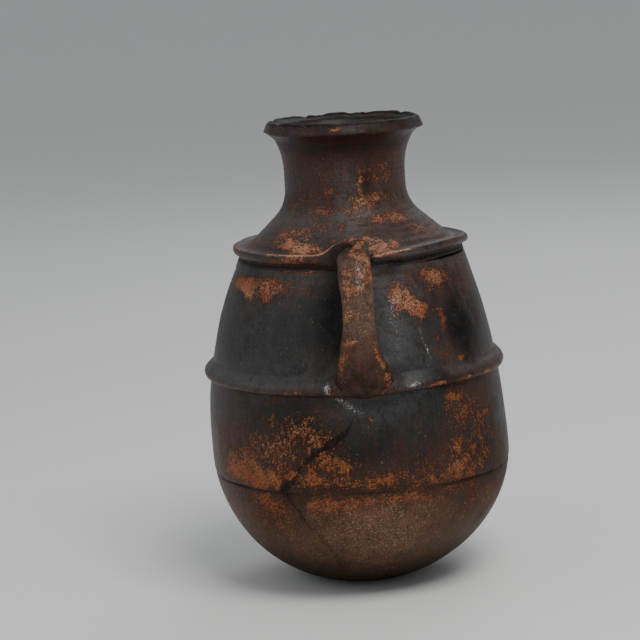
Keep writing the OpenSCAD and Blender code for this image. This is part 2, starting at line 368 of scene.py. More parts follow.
WORN = [
    (-66, 308, 20, 8, 0.9), (-59, 302, 12, 6, 0.9), (-52, 314, 30, 4, 0.85), (-40, 307, 16, 6, 0.85),
    (-50, 306, 12, 6, 0.6), (-46, 298, 8, 5, 0.9), (-74, 306, 12, 10, 0.7), (-34, 323, 12, 1.6, 0.9),
    (-24, 323, 8, 1.6, 0.9), (-36, 335, 40, 1.6, 0.7), (-39, 259, 10, 8, 0.35), (-24, 298, 16, 10, 0.35),
    (17, 299, 11, 13, 0.85), (22, 289, 14, 13, 1, -20), (28, 280, 11, 10, 0.95),
    (40, 309, 19, 10, 1, -15), (36, 299, 8, 6, 0.6), (40, 272, 7, 12, 0.85, 20), (38, 264, 6, 8, 0.7),
    (45, 231, 7, 4, 0.9), (66, 318, 6, 12, 0.8), (38, 238, 16, 14, 0.45), (34, 250, 8, 10, 0.4),
    (30, 312, 20, 6, 0.45), (-58, 130, 34, 13, 0.95), (-44, 124, 22, 8, 0.95), (-54, 146, 28, 18, 0.62),
    (-38, 145, 14, 20, 0.5), (-33, 170, 34, 26, 0.55), (-22, 180, 24, 18, 0.55), (-18, 167, 7, 14, 0.6),
    (-12, 170, 5, 14, 0.55), (-15, 150, 20, 10, 0.62, -12), (-21, 129, 28, 8, 0.8, -5),
    (-10, 141, 14, 12, 0.5), (-7, 125, 16, 6, 0.6), (-25, 145, 12, 3.5, 0.7, -35), (4, 127, 18, 7, 0.55),
    (20, 138, 40, 18, 0.42), (32, 122, 26, 8, 0.5), (1.5, 186, 4, 3, 0.8), (42, 188, 24, 18, 0.62),
    (36, 198, 12, 9, 0.7), (46, 162, 20, 22, 0.43), (52, 137, 30, 17, 0.2), (38, 128, 18, 9, 0.38),
    (-10, 107, 40, 5, 0.75), (-16, 100, 30, 5, 0.6), (-45, 103, 18, 7, 0.7), (-38, 90, 14, 14, 0.6),
    (12, 108, 30, 6, 0.6), (58, 98, 34, 28, 0.4), (40, 84, 24, 20, 0.45), (-14, 84, 16, 16, 0.45),
    (-48, 80, 16, 14, 0.4), (-62, 160, 24, 22, 0.3), (50, 178, 20, 24, 0.3), (60, 162, 24, 34, 0.36),
    (34, 150, 12, 12, 0.4), (33, 172, 8, 22, 0.4), (-32, 342, 20, 5, 1), (-42, 345, 16, 4, 0.9),
    (-54, 352, 18, 10, 0.6), (-36, 357, 20, 9, 0.6), (-22, 362, 14, 6, 0.5), (22, 364, 24, 5, 0.65),
    (38, 367, 20, 5, 0.6), (50, 353, 15, 7, 0.65), (13, 341, 10, 6, 1), (22, 342, 12, 4, 0.7),
    (62, 346, 14, 6, 0.6), (0, 349.5, 17, 2.2, 0.8), (12, 356, 5, 4, 0.4), (10, 402, 4, 22, 0.7),
    (2, 396, 4, 12, 0.45), (8, 384, 7, 9, 0.6), (14, 379, 14, 5, 0.75), (34, 385, 17, 8, 0.5),
    (24, 400, 9, 12, 0.25), (40, 400, 12, 14, 0.28), (-12, 396, 12, 18, 0.3), (-30, 406, 20, 9, 0.5),
    (-26, 392, 16, 12, 0.36), (26, 408, 14, 12, 0.25), (-28, 376, 18, 5, 0.65), (-46, 384, 10, 10, 0.4),
    (-8, 374, 12, 4, 0.5), (38, 414, 22, 10, 0.5), (-20, 420, 30, 10, 0.25), (-9, 454.5, 7, 2.5, 1, 10),
    (-50, 449, 7, 4, 0.6), (-66, 452, 5, 4, 0.6), (20, 448.6, 14, 1.2, 0.8), (-20, 448.6, 16, 1.2, 0.5),
    (30, 455, 12, 3, 0.4)
]
TAN = [
    (13, 341, 12, 7, 1), (24, 342, 12, 5, 0.5), (23, 288, 13, 13, 0.5, -20), (17, 297, 9, 12, 0.35),
    (40, 304, 16, 14, 0.35), (-32, 343, 24, 6, 0.6), (10, 377, 10, 6, 0.4), (10, 396, 4, 18, 0.35),
    (-62, 302, 20, 9, 0.45), (-42, 306, 20, 8, 0.35), (-30, 172, 34, 22, 0.3), (0, 350, 17, 3, 0.5),
    (-42, 358, 20, 10, 0.15), (34, 362, 30, 8, 0.25), (-9, 454.5, 5, 3, 0.8)
]
BROWN = [
    (-62, 145, 46, 38, 0.95), (52, 150, 40, 50, 0.55), (44, 195, 34, 22, 0.6), (64, 215, 28, 24, 0.6),
    (-26, 160, 40, 30, 0.5), (20, 150, 44, 24, 0.35), (40, 240, 20, 26, 0.65), (45, 302, 34, 22, 0.85),
    (65, 300, 20, 30, 0.4), (18, 315, 24, 14, 0.5), (-40, 300, 44, 14, 0.35), (20, 288, 24, 18, 0.4),
    (-45, 358, 30, 12, 0.6), (40, 356, 40, 12, 0.9), (-20, 400, 30, 26, 1), (35, 405, 34, 28, 1),
    (8, 395, 20, 30, 0.7), (10, 440, 60, 14, 0.6), (-20, 454, 60, 8, 0.3), (60, 335, 30, 9, 0.8),
    (-35, 327, 40, 4, 0.7), (-45, 205, 60, 5, 0.7), (60, 210, 30, 8, 0.9), (20, 120, 60, 14, 0.5)
]
DUST = [
    (0, 84, 44, 22, 1), (4, 82, 28, 14, 0.7), (8, 60, 40, 18, 0.7), (-12, 62, 30, 22, 0.3),
    (28, 88, 14, 12, 0.15), (13, 341, 10, 5, 0.5), (-14, 190, 12, 10, 0.25), (-35, 60, 14, 20, 0.35)
]
# Dark patches: smoke stain in places, painted shade in others, as marked below.
SOOT_AND_SHADE = [
    # In the next line, (48, 262) and (50, 258) darken the dent right of the handle: painted shade.
    (54, 138, 28, 20, 0.6), (48, 262, 17, 32, 1), (50, 258, 15, 26, 1), (-20, 459, 60, 3, 0.6),
    # In the next line, (-11, 300) darkens the wall left of the handle: painted shadow of the handle.
    (30, 457, 40, 4, 0.5), (-11, 300, 10, 34, 0.5), (-24, 178, 30, 24, 0.55), (-40, 80, 24, 16, 0.6),
    (8, 160, 40, 30, 0.35), (-14, 120, 44, 5, 0.6), (8, 118, 30, 5, 0.7), (55, 70, 14, 10, 0.5),
    # In the next line, (0, 436) is painted shadow of the collar on the neck, (-13, 285) painted shadow of the
    # handle on the wall at its left, and (14, 322) painted shadow under the lip beside the handle's right.
    (17, 401, 5, 10, 0.9), (0, 436, 60, 9, 0.6), (-13, 285, 12, 46, 0.9), (14, 322, 14, 6, 0.9),
    (14, 228, 14, 6, 0.7), (34, 214, 22, 8, 0.6), (45, 30, 50, 14, 0.7), (-30, 30, 60, 14, 0.45),
    # In the next line, (40, 358) darkens the cone's right side: painted shade.
    (30, 222, 10, 6, 0.8), (40, 358, 30, 9, 0.5), (-14, 150, 34, 22, 0.45), (12, 352, 14, 8, 0.3),
    # The next line darkens the lower right of the body: painted shade.
    (56, 150, 44, 50, 0.55), (62, 108, 40, 26, 0.5)
]
# Grey patches: wax haze in places, painted light, sheen and highlights in others, as marked below.
BLOOM_AND_PAINTED_LIGHT = [
    # In the next line, (-11, 285) lightens the handle's shadow on the wall at its left: painted light.
    (-11, 285, 12, 60, 0.35), (2, 454, 9, 4, 0.9), (-3, 390, 12, 24, 1), (-10, 362, 20, 8, 0.7),
    # In the next line, (15, 262) and (15, 255) are painted sheen on the wall right of the handle.
    (15, 262, 20, 46, 0.85), (15, 255, 16, 36, 0.3), (-30, 362, 30, 12, 0.6), (20, 300, 20, 16, 0.6),
    # In the next line, (-48, 358) lightens the cone's left side: painted light.
    (-20, 405, 40, 16, 0.5), (30, 395, 30, 16, 0.2), (4, 190, 34, 18, 0.6), (-48, 358, 24, 12, 0.6),
    # In the next line, (-50, 218) greys the cordon at the left: wax haze with a painted highlight.
    (-60, 250, 70, 34, 0.35), (-50, 218, 70, 5, 0.6), (20, 333, 16, 7, 1), (34, 334, 16, 5, 0.5),
    (52, 288, 3, 18, 0.7, 25), (58, 272, 2.5, 22, 0.6, 20), (49, 268, 2, 16, 0.5, 30),
    (-6, 198, 16, 8, 0.7, -30), (0, 372, 8, 6, 0.6), (24, 208, 11, 4, 1), (-70, 420, 20, 40, 0.3)
]
# Pale patches: scuffs and chips in places, painted glints, highlights and sheen in others, as marked below.
CHALK_AND_GLINT = [
    (-13.5, 216.5, 4, 5, 0.72), (-6.5, 200, 13, 2.2, 0.36, -31), (-8, 204, 9, 1.5, 0.3, -28),
    # In the next line, (18.5, 216) is a painted glint on the cordon right of the handle.
    (18.5, 216, 8, 1.8, 0.7, 8), (4, 188, 9, 1.3, 0.35, 40), (-5, 196, 14, 6, 0.3, -30),
    # In the next line, (25.5, 264) and (27.5, 245) are a painted highlight along the dent's crease, and (15,
    # 258) painted sheen right of the handle.
    (25.5, 264, 1, 11, 0.5, 6), (27.5, 245, 0.9, 10, 0.65, 16), (15, 258, 9, 30, 0.3),
    # In the next line, (15, 292) is painted sheen right of the handle.
    (15, 292, 7, 10, 0.35), (8, 27, 22, 1.6, 0.35, 4), (62, 40, 20, 2, 0.3, 10),
    (150, 200, 14, 2, 0.6, 20), (235, 150, 12, 1.5, 0.5, -35), (178, 60, 20, 2, 0.4, 8)
]
PAINT = {"worn": WORN, "tan": TAN, "brown": BROWN, "dust": DUST, "soot": SOOT_AND_SHADE, "bloom": BLOOM_AND_PAINTED_LIGHT, "chalk": CHALK_AND_GLINT}
HIDDEN_SEED, HIDDEN_COUNT = 11, 115
PATCH_REACH, PATCH_FALL = 2.6, 0.75

# How the surface looks on average at each height: knots of (height, value)
EVERYWHERE = {
    "worn": [
        (0, 0.1), (30, 0.2), (70, 0.28), (105, 0.36), (114, 0.3), (118, 0.34), (150, 0.2), (185, 0.05),
        (205, 0), (230, 0), (280, 0), (322, 0.1), (342, 0.2), (360, 0.12), (372, 0.15), (400, 0.15),
        (425, 0.08), (460, 0.15)],
    "brown": [
        (0, 0.8), (90, 0.95), (113, 0.9), (118, 0.75), (140, 0.5), (175, 0.2), (200, 0.1), (213, 0.4),
        (226, 0.1), (300, 0.1), (330, 0.3), (345, 0.3), (366, 0.3), (385, 0.6), (400, 0.8), (436, 0.75),
        (448, 0.4), (460, 0.35)],
    "dust": [(0, 0.05), (40, 0.25), (80, 0.3), (110, 0.1), (140, 0.05), (460, 0.05)],
    # These knots rise just under the collar, near height 440, as painted shadow of the collar, and make the
    # jar darker towards its bottom.
    "soot": [
        (0, 0.95), (22, 0.85), (42, 0.45), (60, 0.15), (110, 0.1), (180, 0.1), (420, 0.1), (440, 0.4),
        (450, 0.25), (460, 0.35)],
    # The knot at 226 greys the cordon's top: wax haze with a painted highlight.
    "bloom": [
        (0, 0), (110, 0), (180, 0.1), (212, 0.3), (226, 0.5), (240, 0.2), (300, 0.2), (335, 0.45),
        (350, 0.3), (366, 0.45), (380, 0.3), (410, 0.2), (440, 0.05), (448, 0.3), (460, 0.2)],
    "tan": [(0, 0.1), (120, 0.05), (160, 0.05), (330, 0.1), (345, 0.3), (380, 0.15), (460, 0.1)],
    "chalk": [(0, 0), (460, 0)],
    "down": [
        (0, 0.15), (60, 0.2), (100, 0.1), (118, 0.3), (135, 0.8), (195, 0.9), (215, 0.1), (300, 0.1),
        (368, 0.05), (385, 0.85), (425, 0.7), (445, 0.1), (460, 0.1)],
    "round": [
        (0, 0.1), (90, 0.4), (108, 0.9), (116, 0.5), (130, 0.1), (200, 0.1), (214, 0.8), (230, 0.2),
        (288, 0.4), (300, 0.75), (325, 0.8), (366, 0.9), (385, 0.1), (425, 0.2), (440, 0.7), (460, 0.8)],
}


def hidden_side_patches():
    """Patches for the half that faces away, scattered as the front's are."""
    rng = np.random.default_rng(HIDDEN_SEED)
    found = {k: [] for k in PAINT}
    for _ in range(HIDDEN_COUNT):
        a = rng.uniform(75, 280)
        z = rng.choice([rng.uniform(30, 200), rng.uniform(240, 320), rng.uniform(340, 450)])
        kind = rng.choice(["worn", "worn", "worn", "brown", "soot", "bloom", "dust", "tan"])
        wide, tall = rng.uniform(8, 36), rng.uniform(4, 9 if z > 330 else 17)
        found[kind].append((a, z, wide, tall, rng.uniform(0.3, 0.8), rng.uniform(-20, 20)))
    return found


HIDDEN_PATCHES = hidden_side_patches()


def patches(kind, p, azimuth, r, z):
    """From 0 to 1, how strongly the patches of one kind cover each point."""
    clear = np.ones(len(z))
    ragged = 1 + noises(p, 41, (0.45, 11), (0.25, 5))
    for a, z0, wide, tall, strength, *tilt in PAINT[kind] + HIDDEN_PATCHES[kind]:
        near = np.abs(z - z0) < PATCH_REACH * max(wide, tall)
        if not near.any():
            continue
        u, v = np.radians(unwrap(azimuth[near], a)) * r[near], z[near] - z0
        lean = math.radians(tilt[0]) if tilt else 0
        c, s = math.cos(lean), math.sin(lean)
        q = ((c * u + s * v) / wide) ** 2 + ((c * v - s * u) / tall) ** 2
        clear[near] *= 1 - strength * np.exp(-PATCH_FALL * q * ragged[near])
    return 1 - clear


def add(layers, **amounts):
    """Adds to painted layers and keeps them from 0 to 1."""
    for kind, amount in amounts.items():
        layers[kind] = unit(layers[kind] + amount)


def dark_lines_and_mouth_shade(p, azimuth, r, z):
    """How dark the cracks, the seam and the rim's edge are, with painted shade inside the mouth."""
    crack = np.min([crack_distance(azimuth, z, c, p) for c in CRACKS], axis=0)
    crack_w = 2.6 - 1.4 * ease(165, 185, z) + 1.6 * bump(z - 164, 9) + noises(p, 53, (1.4, 14), (1, 5))
    crack_dark = (0.85 - 0.6 * ease(174, 186, z)) * bump(crack, np.clip(crack_w, 0.9, 5.5))
    seam_dark = 0.9 * bump(z - groove_height(p), 1.3) * unit(seam_depth(p))
    edge_dark = 0.8 * ease(TOP_Z - 3, TOP_Z - 1, z)
    # Painted shade inside the mouth, below its top edge.
    mouth_shade = 0.95 * ease(TOP_Z - 9, TOP_Z - 4, z) * fade(68, 72, r)
    return np.max([crack_dark, seam_dark, edge_dark, mouth_shade], axis=0)


def paint_shell(p, azimuth, r, z, inside=False):
    """The value at each point of every painted layer."""
    layers = {}
    for kind in PAINT:
        ground = table(z, EVERYWHERE[kind]) + 0.1 * noise(p, 40, 51) * (kind not in ("tan", "chalk"))
        layers[kind] = unit(1 - (1 - unit(ground)) * (1 - patches(kind, p, azimuth, r, z)))
    for kind in ("down", "round"):
        layers[kind] = unit(table(z, EVERYWHERE[kind]))
    dark = dark_lines_and_mouth_shade(p, azimuth, r, z)
    layers["worn"] = layers["worn"] * (1 - 0.85 * unit(dark))
    root = root_swell(azimuth, z, r) / ROOT_SWELL
    layers["brown"] = np.maximum(layers["brown"], root)
    add(layers, soot=dark, worn=0.14 * root * ease(212, 222, z) * (1 + noise(p, 8, 58)))
    # Painted shade on the wall just below each handle's lower root.
    add(layers, soot=0.6 * root * fade(210, 218, z))
    if inside:
        # Inside the jar the near-black is painted shade.
        flat = {"worn": 0.15, "brown": 0.9, "soot": 0.95, "bloom": 0, "chalk": 0}
        layers.update({kind: value + 0 * z for kind, value in flat.items()})
    return layers


# ---- Meshes ----

SHARP_ANGLE = 48


def in_scene(name, data):
    """A new object with its data, linked to the scene."""
    made = bpy.data.objects.new(name, data)
    bpy.context.scene.collection.objects.link(made)
    return made


def make_piece(node, material, points, quads, fans, layers):
    """A piece that stands for a CAD part: points in millimetres, four-cornered faces and end fans."""
    mesh = bpy.data.meshes.new(node + "_clay")
    faces = [np.asarray(quads, np.int32)] + [np.asarray(f, np.int32) for f in fans]
    corners = np.concatenate([f.ravel() for f in faces])
    sizes = np.concatenate([np.full(len(f), f.shape[1]) for f in faces])
    mesh.vertices.add(len(points))
    mesh.vertices.foreach_set("co", (np.asarray(points) * MM).astype(np.float32).ravel())
    mesh.loops.add(len(corners))
    mesh.loops.foreach_set("vertex_index", corners)
    mesh.polygons.add(len(sizes))
    mesh.polygons.foreach_set("loop_start", (np.cumsum(sizes) - sizes).astype(np.int32))
    mesh.update(calc_edges=True)
    mesh.validate()
    for kind, values in layers.items():
        mesh.attributes.new(kind, "FLOAT", "POINT").data.foreach_set("value", np.asarray(values, np.float32))
    mesh.shade_smooth()
    mesh.set_sharp_from_angle(angle=math.radians(SHARP_ANGLE))
    mesh.materials.append(material)
    piece = in_scene(node + "_clay", mesh)
    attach(piece, "root")
    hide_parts(node)


def grid_faces(rows, columns, loop_rows):
    """Faces between the rows of a tube whose columns close on themselves."""
    j = np.arange(rows if loop_rows else rows - 1)[:, None]
    i = np.arange(columns)[None, :]
    k, l = (j + 1) % rows, (i + 1) % columns
    corners = (j * columns + i, j * columns + l, k * columns + l, k * columns + i)
    return np.stack(np.broadcast_arrays(*corners), axis=-1).reshape(-1, 4)


def close_ends(q, layers, columns, middles):
    """The points and layers with a middle added for each end of a tube, and the fans that close it."""
    low, high, last = len(q), len(q) + 1, len(q) - columns
    i = np.arange(columns)
    n = (i + 1) % columns
    fans = [np.column_stack([n, i, np.full_like(i, low)]),
            np.column_stack([i + last, n + last, np.full_like(i, high)])]
    layers = {k: np.append(v, [v[0], v[-1]]) for k, v in layers.items()}
    return np.vstack([q, middles]), layers, fans


def turned(node, slot, material, outer, inner, spacing, inner_spacing=7, extra=None, painted=paint_shell):
    """A piece of the wall: its outer and inner lines turned round the axis, then moved."""
    lines = [(spread(outer, spacing), False)]
    if inner is not None:
        lines.append((spread(inner, inner_spacing), True))
    rows = np.vstack([line for line, _ in lines])
    normals = np.vstack([line_normals(line) for line, _ in lines])
    inside = np.concatenate([np.full(len(line), flag) for line, flag in lines])
    poles = rows[0, 0] < 1e-6 and rows[-1, 0] < 1e-6
    if poles:
        rows, normals, inside = rows[1:-1], normals[1:-1], inside[1:-1]
    r, z, nr, nz, is_inside = (np.repeat(v, STEPS_ROUND) for v in (*rows.T, *normals.T, inside))
    azimuth = np.tile(np.linspace(0, 360, STEPS_ROUND, endpoint=False), len(rows))
    s, c = np.sin(np.radians(azimuth)), np.cos(np.radians(azimuth))
    p = np.column_stack([r * s, -r * c, z])
    move = np.where(is_inside, noises(p, 21, (0.4, 30), (0.15, 9)), shell_move(p, azimuth, r, z))
    radial, rise = extra(p, azimuth, r, z) if extra is not None else (0, 0)
    out = r + nr * move + np.where(is_inside, 0, radial)
    q = np.column_stack([out * s, -out * c, z + nz * move + np.where(is_inside, 0, rise)])
    q = settle(q, azimuth, z)
    layers = painted(p, azimuth, r, z)
    within = paint_shell(p, azimuth, r, z, inside=True)
    layers = {k: np.where(is_inside, within[k], layers[k]) for k in layers}
    fans = []
    if poles:
        middles = [[0, 0, q[:STEPS_ROUND, 2].mean()], [0, 0, q[-STEPS_ROUND:, 2].mean()]]
        q, layers, fans = close_ends(q, layers, STEPS_ROUND, middles)
    make_piece(node, material, q, grid_faces(len(rows), STEPS_ROUND, not poles), fans, layers)


# ---- The surface's material ----

class Tree:
    """Short names for making shader nodes and joining them."""

    def __init__(self, name):
        self.material = bpy.data.materials.new(name)
        self.material.use_nodes = True
        self.nodes, self.links = self.material.node_tree.nodes, self.material.node_tree.links
        self.shader = self.nodes["Principled BSDF"]

    def put(self, socket, value):
        """Joins an output to the socket, or sets the socket's own value."""
        if isinstance(value, bpy.types.NodeSocket):
            self.links.new(value, socket)
        elif value is not None:
            socket.default_value = value

    def node(self, kind, values=(), **settings):
        """A new node with its settings, and with values for its first inputs in their order."""
        made = self.nodes.new("ShaderNode" + kind)
        for key, value in settings.items():
            setattr(made, key, value)
        for socket, value in zip(made.inputs, values):
            self.put(socket, value)
        return made

    def named(self, kind, **inputs):
        """A new node with values for the inputs that are named."""
        made = self.node(kind)
        for key, value in inputs.items():
            self.put(made.inputs[key], value)
        return made.outputs[0]

    def math(self, operation, *values, clamp=False):
        return self.node("Math", values, operation=operation, use_clamp=clamp).outputs[0]

    def times(self, a, b, clamp=False):
        return self.math("MULTIPLY", a, b, clamp=clamp)

    def plus(self, a, b):
        return self.math("ADD", a, b)

    def scaled(self, value, factor, offset, clamp=False):
        """The value times a factor, plus an offset."""
        return self.math("MULTIPLY_ADD", value, factor, offset, clamp=clamp)

    def layer(self, name):
        return self.node("Attribute", attribute_name=name).outputs["Fac"]

    def place(self, scale=(1, 1, 1)):
        """Object coordinates, pressed or drawn out along each axis."""
        return self.named("Mapping", Vector=self.node("TexCoord").outputs["Object"], Scale=scale)

    def noise(self, vector, scale, detail, roughness, distortion=0.0):
        return self.named("TexNoise", Vector=vector, Scale=scale, Detail=detail, Roughness=roughness,
                          Distortion=distortion)

    def cells(self, vector, scale):
        """Rounded spots, brightest at their middles."""
        return self.math("SUBTRACT", 1.0, self.named("TexVoronoi", Vector=vector, Scale=scale))

    def mix(self, factor, a, b, blend="MIX"):
        """A colour between a and b."""
        a, b = ((*v, 1) if isinstance(v, tuple) else v for v in (a, b))
        values = (factor, *[None] * 5, a, b)
        return self.node("Mix", values, data_type="RGBA", blend_type=blend).outputs[2]

    def blend(self, factor, a, b):
        """A number between a and b."""
        return self.node("Mix", (factor, None, a, b)).outputs[0]

    def step(self, value, low, high):
        """A smooth climb from 0 at low to 1 at high."""
        return self.node("MapRange", (value, low, high), interpolation_type="SMOOTHSTEP").outputs[0]

    def ramp(self, value, stops):
        """The colour at a value between stops of (place, colour)."""
        node = self.node("ValToRGB", (value,))
        band = node.color_ramp
        while len(band.elements) < len(stops):
            band.elements.new(0.5)
        for element, (place, colour) in zip(band.elements, stops):
            element.position, element.color = place, (*colour, 1)
        return node.outputs[0]

    def bumped(self, height, distance, strength, under=None):
        return self.named("Bump", Height=height, Distance=distance, Strength=strength, Normal=under)


# The black stands for smoke stain and, in places, for painted shade; the grey for wax haze and, in places,
# for painted light and sheen.
BLOOM_AND_LIGHT_GREY, SOOT_AND_SHADE_BLACK = (0.066, 0.0645, 0.065), (0.0055, 0.0052, 0.005)
BARE_ORANGE = [(0, (0.019, 0.0078, 0.004)), (0.3, (0.055, 0.0175, 0.006)), (0.62, (0.14, 0.043, 0.0105)),
               (1, (0.35, 0.112, 0.024))]
BARE_TAN = [(0, (0.027, 0.014, 0.009)), (0.3, (0.11, 0.045, 0.022)), (0.62, (0.31, 0.152, 0.082)),
            (1, (0.56, 0.33, 0.205))]
RED_TINT, PORE_TINT = (0.92, 0.56, 0.6), (0.55, 0.52, 0.52)
FRECKLE, DUST_TAN = (0.125, 0.058, 0.028), (0.255, 0.13, 0.072)
# The pale chalky colour is real scuffs and chips in places and painted glints, highlights and sheen in
# others.
CHALK_AND_GLINT_WHITE, LIME_CREAM, PIT_BLACK = (0.42, 0.39, 0.37), (0.4, 0.32, 0.25), (0.004, 0.0035, 0.0035)


def surface_fields(t, finer):
    """The painted layers and the noises that break them up, as outputs by name."""
    f = SimpleNamespace(**{kind: t.layer(kind) for kind in (*PAINT, "down", "round")})
    f.even, tall, flat = t.place(), t.place((1, 1, 0.55)), t.place((1, 1, 3.5))
    f.large = t.noise(f.even, 22, 4, 0.6)
    f.middle = t.noise(f.even, 90, 5, 0.6)
    f.fine = t.noise(f.even, 640, 3, 0.7)
    f.grain = t.noise(f.even, 1300, 2, 0.6)
    f.flecks = t.noise(f.even, 330 * finer, 4, 0.72, 0.4)
    f.drips = t.noise(tall, 290 * finer, 4, 0.7, 0.2)
    f.wheel = t.noise(flat, 170, 5, 0.72, 0.3)
    f.speck = t.blend(f.round, t.blend(f.down, f.flecks, f.drips), f.wheel)
    f.streaks = t.noise(t.place((1, 1, 0.14)), 210, 4, 0.65)
    return f


def slip_colour(t, f, slip, stain):
    """Charcoal slip with browner and redder clouds, a grey wax haze that also paints light, sheen and
    highlights in places, and black that is smoke stain in places and painted shade in others.
    """
    ground = t.mix(t.step(t.blend(0.65, f.large, t.blend(0.5, f.fine, f.grain)), 0.38, 0.62), *slip)
    redder = t.blend(0.5, t.blend(f.down, f.middle, f.streaks), f.fine)
    redder = t.mix(t.step(redder, 0.38, 0.66), *stain)
    patchy = t.blend(0.45, f.middle, t.blend(0.5, f.speck, f.fine))
    patchy = t.blend(t.times(f.down, 0.6), patchy, f.streaks)
    cloud = t.step(t.plus(patchy, t.scaled(f.brown, 0.26, -0.12)), 0.4, 0.56)
    ground = t.mix(t.times(f.brown, cloud), ground, redder)
    haze = t.step(t.scaled(f.bloom, 0.16, t.blend(0.5, f.middle, f.drips)), 0.45, 0.64)
    ground = t.mix(t.times(t.times(f.bloom, haze), 0.9), ground, BLOOM_AND_LIGHT_GREY)
    soot_and_shade_cover = t.times(f.soot, t.step(t.blend(0.4, f.middle, f.fine), 0.3, 0.56))
    return t.mix(soot_and_shade_cover, ground, SOOT_AND_SHADE_BLACK)


def wear_fields(t, f):
    """Where the noise passes a level set by the painted wear, first brown and then orange clay shows."""
    field = t.plus(t.times(f.speck, 0.36), t.times(f.middle, 0.16))
    for noise_field, share in ((f.fine, 0.26), (f.grain, 0.12), (t.cells(f.even, 390), 0.1)):
        field = t.scaled(noise_field, share, field)
    core = t.step(f.worn, 0.55, 1.0)
    level = t.scaled(core, -0.03, t.scaled(f.worn, -0.165, 0.612))
    f.above = t.math("SUBTRACT", field, level)
    vivid = t.scaled(t.math("MAXIMUM", f.worn, f.tan), 0.75, 0.35)
    tone = t.step(t.blend(0.45, f.fine, t.blend(0.5, f.grain, f.middle)), 0.38, 0.62)
    depth = t.times(t.step(f.above, -0.02, 0.062), vivid)
    depth = t.times(depth, t.scaled(tone, 0.75, 0.4), clamp=True)
    f.depth = t.math("MAXIMUM", depth, t.times(core, t.scaled(tone, 0.5, 0.13)))


def bare_colour(t, f):
    """Bare clay, from brown to orange or tan as it is worn deeper, redder in places and pitted with pores."""
    bare = t.mix(f.tan, t.ramp(f.depth, BARE_ORANGE), t.ramp(f.depth, BARE_TAN))
    redness = t.step(t.scaled(f.round, 0.12, t.noise(f.even, 48, 4, 0.65)), 0.44, 0.66)
    redness = t.times(redness, t.scaled(f.tan, -0.5, 0.85))
    bare = t.mix(redness, bare, t.mix(1.0, bare, RED_TINT, "MULTIPLY"))
    return t.mix(t.step(f.grain, 0.42, 0.58), t.mix(1.0, bare, PORE_TINT, "MULTIPLY"), bare)


def spotted(t, f, surface):
    """Freckles where the slip never took, dust, chalky scuffs and painted glints and highlights, lime specks
    and dark pits.
    """
    freckles = t.step(t.noise(f.even, 520, 2.5, 0.6), 0.655, 0.7)
    surface = t.mix(t.times(freckles, 0.55), surface, FRECKLE)
    mottle = t.blend(0.3, t.blend(0.5, f.grain, f.fine), t.blend(0.5, f.middle, f.flecks))
    f.powder = t.times(f.dust, t.step(mottle, 0.38, 0.62))
    surface = t.mix(t.times(f.powder, 0.85), surface, DUST_TAN)
    scuff_and_glint = t.step(t.scaled(f.chalk, 0.34, t.blend(0.5, f.grain, f.fine)), 0.66, 0.76)
    surface = t.mix(scuff_and_glint, surface, CHALK_AND_GLINT_WHITE)
    lime = t.plus(t.noise(f.even, 700, 2, 0.6), t.times(t.math("MAXIMUM", f.dust, f.chalk), 0.1))
    surface = t.mix(t.times(t.step(lime, 0.7, 0.76), 0.75), surface, LIME_CREAM)
    f.pits = t.times(t.step(t.noise(f.even, 480, 2, 0.5), 0.7, 0.74), t.scaled(f.dust, -0.9, 1.0))
    return t.mix(t.times(f.pits, 0.7), surface, PIT_BLACK)


def gloss(t, f, specular, coat):
    """The waxed slip shines softly, worn clay and dust are dull."""
    rough = t.scaled(t.step(f.above, -0.02, 0.04), 0.2, 0.42)
    rough = t.scaled(f.soot, 0.14, t.scaled(f.powder, 0.22, rough))
    rough = t.plus(rough, t.scaled(f.middle, 0.22, -0.11))
    t.put(t.shader.inputs["Roughness"], t.scaled(f.grain, 0.12, t.plus(rough, -0.06), clamp=True))
    t.put(t.shader.inputs["Specular IOR Level"], t.scaled(f.soot, -0.65 * specular, specular))
    t.put(t.shader.inputs["Coat Weight"], coat)
    t.put(t.shader.inputs["Coat Roughness"], 0.28)


def relief(t, f):
    """Relief finer than the mesh: grain, wheel lines, the edge of the worn slip, and pits."""
    normal = t.bumped(f.grain, 0.0004, 0.55)
    normal = t.bumped(t.blend(0.5, f.wheel, f.middle), 0.0014, 0.3, normal)
    flaked = t.plus(t.times(t.step(f.above, -0.02, 0.03), -1), t.times(f.pits, -1.5))
    t.put(t.shader.inputs["Normal"], t.bumped(flaked, 0.00028, 0.8, normal))


def patina(name, slip, stain, specular, coat, finer=1.0):
    """Smoke-blackened slip over orange clay, worn, stained and waxed, with painted shade and painted
    highlights in places. Its layers are painted on the mesh.
    """
    t = Tree(name)
    f = surface_fields(t, finer)
    ground = slip_colour(t, f, slip, stain)
    wear_fields(t, f)
    surface = t.mix(t.step(f.above, -0.032, 0.012), ground, bare_colour(t, f))
    t.put(t.shader.inputs["Base Color"], spotted(t, f, surface))
    gloss(t, f, specular, coat)
    relief(t, f)
    return t.material


CHARCOAL = ((0.0085, 0.0080, 0.0075), (0.033, 0.0310, 0.0290))
RUST = ((0.0190, 0.0062, 0.0036), (0.108, 0.029, 0.0125))
UMBER = ((0.024, 0.0084, 0.0035), (0.090, 0.032, 0.0125))
wall_clay = patina("worn_slip", CHARCOAL, RUST, 0.26, 0.05)
bowl_clay = patina("worn_bowl_clay", CHARCOAL, UMBER, 0.18, 0.02)
handle_clay = patina("handled_clay", CHARCOAL, RUST, 0.28, 0.1, 1.5)


# ---- The wall's pieces ----

